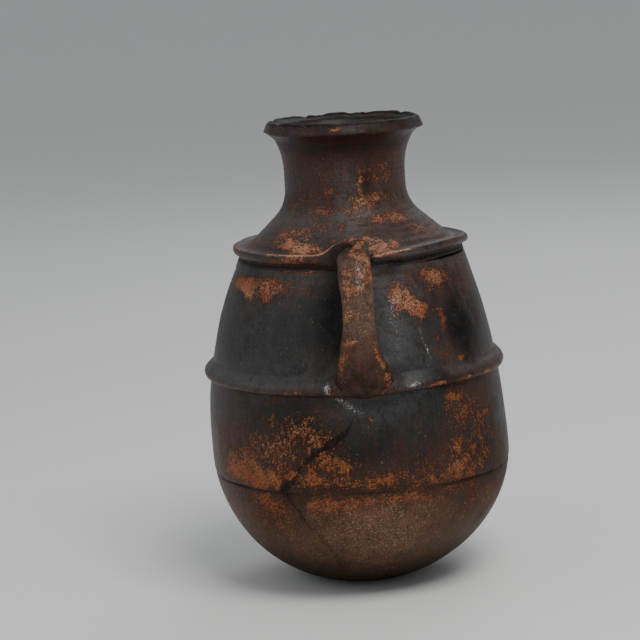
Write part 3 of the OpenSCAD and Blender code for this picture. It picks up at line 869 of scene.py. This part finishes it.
def rim_extra(p, azimuth, r, z):
    """Chips out of the rim's top edge, and a face that waves a little."""
    chipped = unit(sum(bump(unwrap(azimuth, a) * 1.3, w) for a, w in RIM_CHIPS))
    chipped *= ease(TOP_Z - 5.5, TOP_Z - 0.5, z) * (0.9 + 0.6 * noise(p, 5, 5))
    low_face = ease(RIM_Z + 5, RIM_Z + 9, z) * ease(70, 75, r)
    lower_edge = bump(z - (TOP_Z - 10.5), 2.5) * ease(74, 76, r)
    radial = low_face * (0.6 * noise(p, 12, 33) + 0.32 * noise(p, 5, 35)) + 0.5 * lower_edge * noise(p, 7, 36)
    rise = low_face * (0.5 * noise(p, 20, 34) + 0.35 * noise(p, 7, 37))
    return radial - 0.5 * chipped, rise - 1.8 * chipped


def cordon_lines():
    """The coil, round below its edge with a longer slope above it, and its back, buried in the wall."""
    z = np.linspace(CORDON_LOW - CORDON_ENDS, CORDON_HIGH + CORDON_ENDS, 60)
    z_back = np.linspace(z[-1], z[0], 16)
    u = (z - (CORDON_LOW + CORDON_HIGH) / 2) / ((CORDON_HIGH - CORDON_LOW) / 2)
    from_edge = u - CORDON_EDGE
    under = np.sqrt(unit(1 - (from_edge / 0.8) ** 2))
    above = (0.5 + 0.5 * np.cos(np.pi * unit(from_edge / 1.45))) ** 0.85
    r = wall_r(z) - 0.1 + CORDON_PROUD * np.where(from_edge < 0, under, above)
    return np.column_stack([r, z]), np.column_stack([wall_r(z_back) - CORDON_BACK, z_back])


def cordon_extra(p, azimuth, r, z):
    """The coil wavers, is nicked along its edge and is chipped by the front handle."""
    out = ease(0.8, 5, r - wall_r(z))
    waver = noises(p, 61, (0.6, 34), (0.3, 12)) - 0.8 * np.maximum(0, noise(p, 7, 63) - 0.45)
    chip = 2.2 * bump(unwrap(azimuth, -13) * 2.6, 5) * fade(CORDON_LOW + 2, CORDON_LOW + 9, z)
    flat = 1.2 * bump(unwrap(azimuth, 16) * 2.6, 11) * bump(z - CORDON_LOW - 11, 6)
    return out * (waver - chip - flat), out * 0.9 * noise(p, 48, 64)


def paint_cordon(p, azimuth, r, z):
    """The coil's lower edge is rubbed brown, and painted shadow lies under it."""
    layers = paint_shell(p, azimuth, r, z)
    edge = bump(z - (CORDON_LOW + 3.5), 3.4) * ease(1, 4, r - wall_r(z))
    # The darkening just below the coil is painted shadow.
    add(layers, worn=0.5 * edge * (1 + 0.8 * noise(p, 12, 65)), brown=0.7 * edge, tan=0.4 * edge,
        soot=0.9 * bump(z - (CORDON_LOW - 1.5), 2.2))
    return layers


# How rubbed the lip is at each azimuth
LIP_RUBBED = [(-180, 0.5), (-80, 0.4), (-45, 0.9), (-12, 0.9), (15, 0.9), (34, 0.4), (60, 0.1), (180, 0.5)]


def paint_flange(p, azimuth, r, z):
    """The lip's crest is rubbed and its lower edge is brown; painted shade lies under the lip, beside the
    handle's left and in the narrow gap at its right.
    """
    layers = paint_shell(p, azimuth, r, z)
    a, up = handle_side(azimuth, r), z - SHOULDER_Z
    by_handle = ease(-30, -20, a)
    # This mask darkens the lip beside the handle's left: painted shade.
    web = by_handle * fade(0, 6, a) * ease(FLANGE_R - 2.6, FLANGE_R - 1, r)
    near = 1.3 * by_handle * fade(6, 11, a)
    # The narrow gap right of the handle is darkened: painted shade.
    shaded_crevice = ease(8, 10, a) * fade(12.5, 15, a) * ease(103, 106, r)
    lip = unit(table(unwrap(azimuth, 0), LIP_RUBBED)) * bump(up - 15.4, 1.3) * bump(r - (FLANGE_R - 2), 2)
    low_edge = bump(up - 8, 1.5) * ease(112, 113.5, r)
    layers["worn"] = layers["worn"] * (1 - 0.9 * shaded_crevice)
    add(layers, soot=0.5 * web + 0.95 * shaded_crevice, tan=0.6 * lip, brown=0.6 * low_edge,
        worn=0.55 * lip * np.maximum(1 + 1.4 * noise(p, 14, 66), near))
    # The darkening just under the lip, in the undercut, is painted shadow.
    add(layers, worn=0.45 * low_edge * (1 + noise(p, 14, 67)),
        soot=0.9 * bump(up - 3.5, 3.5) * fade(111.5, 113, r))
    return layers


def body_pieces():
    """The nine turned pieces, from the foot up."""
    wall, bowl = ("slip_black", wall_clay), ("worn_clay", bowl_clay)
    foot_edge = arc((FOOT_R - FOOT_ROUND, FOOT_ROUND), FOOT_ROUND, -90, -62, 6)
    foot = np.vstack([[(0, 0)], foot_edge, along(wall_r, 1.2, EDGE_Z, 6)])
    turned("foot_disc", *bowl, foot, [(FLOOR_R, FLOOR_T), (0, FLOOR_T)], 2.5, 8)
    turned("lower_bowl", *bowl, along(wall_r, EDGE_Z, SEAM_Z, 160),
           along(cavity_r, SEAM_Z + SCARF, FLOOR_T), 1.7)
    turned("belly_band", *wall, along(wall_r, SEAM_Z, WAIST_Z, 120),
           along(cavity_r, WAIST_Z + SCARF, SEAM_Z + SCARF), 1.4)
    turned("upper_wall", *wall, along(wall_r, WAIST_Z, SHOULDER_Z, 140),
           along(cavity_r, SHOULDER_Z + COLLAR_LAP, WAIST_Z + SCARF), 1.4)
    turned("waist_cordon", *wall, *cordon_lines(), 0.9, 3, cordon_extra, paint_cordon)
    ledge_back = curve([CONE_INNER_FOOT, (97.5, SHOULDER_Z + 9), FLANGE_INNER_FOOT])
    turned("shoulder_flange", *wall, flange_line(), ledge_back, 0.7, 5, flange_move, paint_flange)
    turned("shoulder_cone", *wall, [CONE_FOOT, CONE_HEAD], [CONE_INNER_HEAD, CONE_INNER_FOOT], 1.3, 6)
    neck = np.vstack([arc(FILLET, FILLET_R, FILLET_FROM, 180), along(neck_r, FLARE_Z, RIM_Z)])
    neck_back = np.vstack([along(mouth_r, RIM_Z + COLLAR_LAP, FLARE_Z),
                           arc(FILLET, FILLET_R + NECK_T, 180, FILLET_FROM)])
    turned("neck", *wall, neck, neck_back, 1.3, 4)
    turned("rim_collar", *wall, rim_line(), None, 0.7, extra=rim_extra)


body_pieces()


# ---- Handles ----

STRAP_T, REACH = 17.0, 158.5
STRAP_LINE = [(90, CONE_Z), (125, CONE_Z + 8), (REACH, SHOULDER_Z + 14), (REACH, SHOULDER_Z - 36),
              (REACH + 0.5, SHOULDER_Z - 70), (REACH - 1.5, WAIST_Z + 6),
              (float(wall_r(WAIST_Z)) - WALL_T, WAIST_Z - 16)]
ROOT_RISE, ROOT_THIN, TOP_THIN = 5.0, 5.0, 11.0

# The strap's width, its lean to the right and its section (squarer where smaller), at places from 0 to 1
STRAP_WIDTHS = [
    (0, 20), (0.1, 20), (0.15, 22), (0.185, 26), (0.21, 29), (0.24, 30.5), (0.3, 31.3), (0.35, 31.8),
    (0.4, 31), (0.5, 30), (0.57, 31), (0.62, 33.5), (0.67, 37.5), (0.73, 45), (0.8, 52), (0.85, 55.5),
    (0.9, 57), (1, 54)
]
STRAP_LEAN = [
    (0, 1.2), (0.1, 1.2), (0.15, 0.3), (0.185, -2), (0.21, -3.6), (0.24, -4.6), (0.3, -5), (0.36, -5),
    (0.45, -3.6), (0.57, -3.8), (0.65, -4.2), (0.72, -3.2), (0.8, -1.4), (1, -0.6)
]
STRAP_SQUARE = [(0, 0.5), (0.14, 0.5), (0.28, 0.72), (0.6, 0.8), (1, 0.95)]
UPPER_END, FLARE_FROM, LOWER_FROM = 0.2, 0.6, 0.75
SIDES, ROW_STEP = 176, 0.8
NUDGE, TWIST = 0.004, 0.01
DRAG, DRAG_PITCH = 0.55, 2.3
STREAKED = np.array([5, 5, 0.6])
REAR_NOISE = np.array([500.0, 0, 0])

# The handle's paint at places along it
HANDLE_GROUND = {
    "worn": [(0, 0.4), (0.16, 0.45), (0.3, 0.64), (0.42, 0.57), (0.55, 0.51), (0.66, 0.5), (0.72, 0.45),
             (0.8, 0.36), (0.9, 0.28), (1, 0.2)],
    "brown": [(0, 0.9), (0.3, 1), (0.8, 1), (1, 0.9)],
    "tan": [(0, 0.2), (0.2, 0.2), (0.35, 0.3), (0.6, 0.1), (1, 0)],
    "dust": [(0, 0.3), (0.3, 0.3), (0.55, 0.6), (0.7, 0.2), (0.85, 0.15), (1, 0.1)],
    "soot": [(0, 0.35), (0.15, 0.3), (0.3, 0.1), (0.66, 0.15), (0.78, 0.45), (0.9, 0.7), (1, 0.9)],
    "bloom": [(0, 0.5), (0.25, 0.5), (0.4, 0.6), (0.6, 0.45), (0.75, 0.2), (1, 0.25)],
}


def strap_path(t):
    """The middle of the strap, as radius and height, at t from 0 at the upper root to 1 at the lower."""
    p = np.array(STRAP_LINE, float)
    s = np.clip(2 * t, 0, 2)
    first = (s < 1)[:, None]
    u = np.where(s < 1, s, s - 1)[:, None]
    b = [np.where(first, p[k], p[k + 3]) for k in range(4)]
    return (1 - u) ** 3 * b[0] + 3 * u * (1 - u) ** 2 * b[1] + 3 * u * u * (1 - u) * b[2] + u ** 3 * b[3]


def top_marks(t, u):
    """The hollow at the left of the strap's top end, and the narrow gap at its right."""
    left = fade(-0.5, 0.05, u) * fade(0.17, 0.29, t)
    return left, bump(u - 0.95, 0.3) * bump(t - 0.19, 0.08)


def strap_points(t, angle):
    """Points of the strap's skin in the front handle's place, and how far round and along they are."""
    middle = strap_path(t)
    ahead = strap_path(np.minimum(t + NUDGE, 1)) - strap_path(np.maximum(t - NUDGE, 0))
    ahead /= np.linalg.norm(ahead, axis=1)[:, None]
    out = np.column_stack([-ahead[:, 1], ahead[:, 0]])
    upper = np.maximum(0, 1 - t / UPPER_END) ** 1.5
    lower = unit((t - FLARE_FROM) / (1 - FLARE_FROM))
    end = ease(0.86, 1, t)
    thick = STRAP_T + 2 * upper + 6 * np.sin(np.pi * lower) - ROOT_THIN * end
    thick -= TOP_THIN * fade(0, 0.1, t)
    power = table(t, STRAP_SQUARE)
    c, s = np.cos(angle), np.sin(angle)
    u = np.sign(c) * np.abs(c) ** power
    n = np.sign(s) * np.abs(s) ** power
    front = unit(n)
    hollow, gap = top_marks(t, u)
    crest = 1.3 * bump(u - 0.1, 0.55) * ease(0.2, 0.3, t) - 1.6 * fade(0.16, 0.24, t)
    horns = 0.8 * bump(np.abs(u) - 0.9, 0.2) * bump(t - 0.14, 0.05)
    lift = n * thick / 2 + front * (crest + horns - 4.5 * hollow - 1.2 * gap)
    x = u * table(t, STRAP_WIDTHS) / 2 + table(t, STRAP_LEAN)
    r = middle[:, 0] + lift * out[:, 0]
    z = middle[:, 1] + lift * out[:, 1] + ROOT_RISE * end
    return np.column_stack([x, -r, z]), u, front


def paint_handle(p, t, u, front):
    """Brown and orange clay that hands have polished, darker at its roots and edges, with painted shade on
    its back and at its top end and a painted highlight on its front.
    """
    layers = {kind: table(t, knots) for kind, knots in HANDLE_GROUND.items()}
    layers["down"] = ease(0.4, 0.7, t)
    layers["round"] = 0.6 * bump(t - 0.3, 0.14)
    # The first chalky patch is a painted highlight on the strap's front.
    layers["chalk"] = 0.45 * bump(t - 0.38, 0.12) * bump(u - 0.2, 0.3)
    layers["chalk"] += 0.4 * bump(t - 0.5, 0.05) * bump(u + 0.55, 0.2)
    clouds = 0.5 * noise(p, 12, 81) * (1 - 0.6 * ease(0.64, 0.74, t)) + 0.25 * noise(p, 5, 83)
    edges = 0.16 * bump(np.abs(u) - 0.8, 0.16) * ease(0.45, 0.65, t)
    streaks = 0.2 * noise(p * STREAKED, 9, 87) * bump(t - 0.27, 0.14)
    hollow, gap = top_marks(t, u)
    crest = bump(t - 0.13, 0.03)
    right = bump(u - 0.84, 0.16) * ease(0.62, 0.7, t) * fade(0.86, 0.9, t)
    left = bump(u + 0.84, 0.16) * ease(0.58, 0.64, t) * fade(0.74, 0.8, t)
    lines = drag_lines(p, t) / DRAG
    # Less wear shows on the strap's back, toward the wall, in the hollow at its top left and in the gap at
    # its right: painted shade.
    layers["worn"] += clouds + edges + streaks - 0.25 * (1 - front) - 0.35 * hollow - 0.6 * gap + 0.1 * crest
    layers["worn"] += 0.42 * right * (1 + noise(p, 6, 86)) + 0.4 * left
    layers["tan"] += 0.35 * noise(p, 7, 84) + 0.2 * crest + 0.15 * right
    # The strap's back, the hollow at its top left and the gap at its right are darkened: painted shade.
    layers["soot"] += 0.35 * (1 - front) + 0.5 * noise(p, 9, 82) + 0.25 * noise(p, 4, 85)
    layers["soot"] += 0.5 * hollow + 1.2 * gap + 0.7 * np.maximum(0, -lines)
    layers["bloom"] += 1.3 * np.maximum(0, lines)
    return {k: unit(v) for k, v in layers.items()}


def drag_lines(p, t):
    """Curved lines that fingers left while smoothing the lower root, at its left."""
    x, z = p[:, 0], p[:, 2]
    wave = np.sin(2 * np.pi * (x * 0.72 + (z - 205) * 0.5 + 0.012 * (x + 20) ** 2) / DRAG_PITCH)
    return DRAG * wave * bump(x + 21, 11) * bump(z - 218, 14) * ease(0.78, 0.84, t)


def strap_normals(p, u, t, angle):
    """Outward normals of the strap's skin."""
    nearer, _, _ = strap_points(t, angle + TWIST)
    further, _, _ = strap_points(np.minimum(t + NUDGE / 2, 1), angle)
    behind, _, _ = strap_points(np.maximum(t - NUDGE / 2, 0), angle)
    normal = np.cross(nearer - p, further - behind)
    normal /= np.maximum(np.linalg.norm(normal, axis=1), 1e-9)[:, None]
    outward = np.column_stack([u, -np.sin(angle), 0 * u])
    return normal * np.sign(np.sum(normal * outward, axis=1))[:, None]


def strap_piece(node, start, end, turn):
    """One stretch of a handle, closed at both ends."""
    length = np.linalg.norm(np.diff(strap_path(np.linspace(start, end, 50)), axis=0), axis=1).sum()
    rows = int(length / ROW_STEP) + 2
    t = np.repeat(np.linspace(start, end, rows), SIDES)
    angle = np.tile(np.linspace(0, 2 * np.pi, SIDES, endpoint=False), rows)
    p, u, front = strap_points(t, angle)
    own = p + (REAR_NOISE if turn else 0)
    move = noises(own, 90, (0.5, 24), (0.22, 8), (0.09, 3.5)) + drag_lines(p, t)
    move += 0.3 * noise(own * STREAKED, 9, 93) * ease(0.55, 0.8, t)
    q = p + strap_normals(p, u, t, angle) * move[:, None]
    middles = [q[:SIDES].mean(axis=0), q[-SIDES:].mean(axis=0)]
    q, layers, fans = close_ends(q, paint_handle(own, t, u, front), SIDES, middles)
    if turn:
        q[:, :2] *= -1
    make_piece(node, handle_clay, q, grid_faces(rows, SIDES, False), fans, layers)


for side, turn in (("front", False), ("rear", True)):
    strap_piece(side + "_upper_lute", 0, UPPER_END, turn)
    strap_piece(side + "_handle", UPPER_END, LOWER_FROM, turn)
    strap_piece(side + "_lower_lute", LOWER_FROM, 1, turn)


# ---- Inner luting coils keep their CAD shape, in finger-smoothed bare clay ----

BARE_CLAY = [(0.3, (0.1, 0.045, 0.024)), (0.5, (0.24, 0.105, 0.052)), (0.7, (0.36, 0.18, 0.1))]
CLAY_GRIT = (0.42, 0.3, 0.2)


def bare_clay_material():
    """Clay that was never slipped, wiped smooth with a finger."""
    t = Tree("bare_clay")
    even, flat = t.place(), t.place((1, 1, 4))
    cloud, grain, wipes = t.noise(even, 60, 5, 0.6), t.noise(even, 900, 4, 0.6), t.noise(flat, 120, 5, 0.6)
    colour = t.ramp(t.blend(0.5, cloud, wipes), BARE_CLAY)
    t.put(t.shader.inputs["Base Color"], t.mix(t.step(grain, 0.62, 0.7), colour, CLAY_GRIT))
    t.put(t.shader.inputs["Roughness"], t.scaled(grain, 0.2, 0.68, clamp=True))
    t.put(t.shader.inputs["Normal"], t.bumped(wipes, 0.0015, 0.5, t.bumped(grain, 0.0004, 0.6)))
    return t.material


bare_clay = bare_clay_material()
for node in ("seam_coil", "waist_coil", "shoulder_coil", "neck_coil"):
    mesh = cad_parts[node].data
    mesh.materials.clear()
    mesh.materials.append(bare_clay)


# ---- Camera, light and floor ----

CAMERA_DISTANCE, CAMERA_HEIGHT = 2.251, 0.635
CAMERA_AZIMUTH = 3.4
CAMERA_PITCH, CAMERA_YAW, CAMERA_ROLL = 9.48, 0.83, 3.08
LENS, SENSOR = 128.5, 36.0
LIT_POINT = (0, 0, 0.25)
FLOOR_HALF, FLOOR_GREY, SKY_GREY = 40.0, (0.8, 0.8, 0.79, 1), (0.72, 0.74, 0.76, 1)


def make_camera():
    """A camera where the photographer stood, a little to the left of the front handle."""
    data = bpy.data.cameras.new("camera")
    data.lens, data.sensor_width, data.sensor_fit = LENS, SENSOR, "HORIZONTAL"
    camera = in_scene("camera", data)
    a = math.radians(CAMERA_AZIMUTH)
    place = (-CAMERA_DISTANCE * math.sin(a), -CAMERA_DISTANCE * math.cos(a), CAMERA_HEIGHT)
    camera.matrix_world = (Matrix.Translation(place) @ Matrix.Rotation(math.radians(CAMERA_YAW) - a, 4, "Z")
                           @ Matrix.Rotation(math.radians(90 - CAMERA_PITCH), 4, "X")
                           @ Matrix.Rotation(-math.radians(CAMERA_ROLL), 4, "Z"))
    bpy.context.scene.camera = camera


def area_light(name, place, size, power, colour):
    """A square soft light that points at the middle of the jar."""
    data = bpy.data.lights.new(name, "AREA")
    data.shape, data.size, data.energy, data.color = "SQUARE", size, power, colour
    light = in_scene(name, data)
    light.location = place
    light.rotation_euler = (Vector(LIT_POINT) - Vector(place)).to_track_quat("-Z", "Y").to_euler()


def make_floor():
    """A plain pale floor with no edge in view."""
    mesh = bpy.data.meshes.new("floor")
    s = FLOOR_HALF
    mesh.from_pydata([(-s, -s, 0), (s, -s, 0), (s, s, 0), (-s, s, 0)], [], [(0, 1, 2, 3)])
    t = Tree("floor_paper")
    t.put(t.shader.inputs["Base Color"], FLOOR_GREY)
    t.put(t.shader.inputs["Roughness"], 0.7)
    mesh.materials.append(t.material)
    floor = in_scene("floor", mesh)


def make_world():
    """Dim even light from all round."""
    world = bpy.data.worlds.new("studio")
    world.use_nodes = True
    background = world.node_tree.nodes["Background"]
    background.inputs["Color"].default_value = SKY_GREY
    background.inputs["Strength"].default_value = 0.5
    bpy.context.scene.world = world


make_camera()
make_world()
make_floor()
area_light("window", (0.7, -1.35, 2.7), 1.4, 56, (1, 0.985, 0.96))
area_light("fill", (-2.2, -0.9, 1.5), 1.6, 8, (0.93, 0.96, 1))
area_light("back", (0.9, 2.2, 2.2), 1.6, 16, (0.96, 0.98, 1))
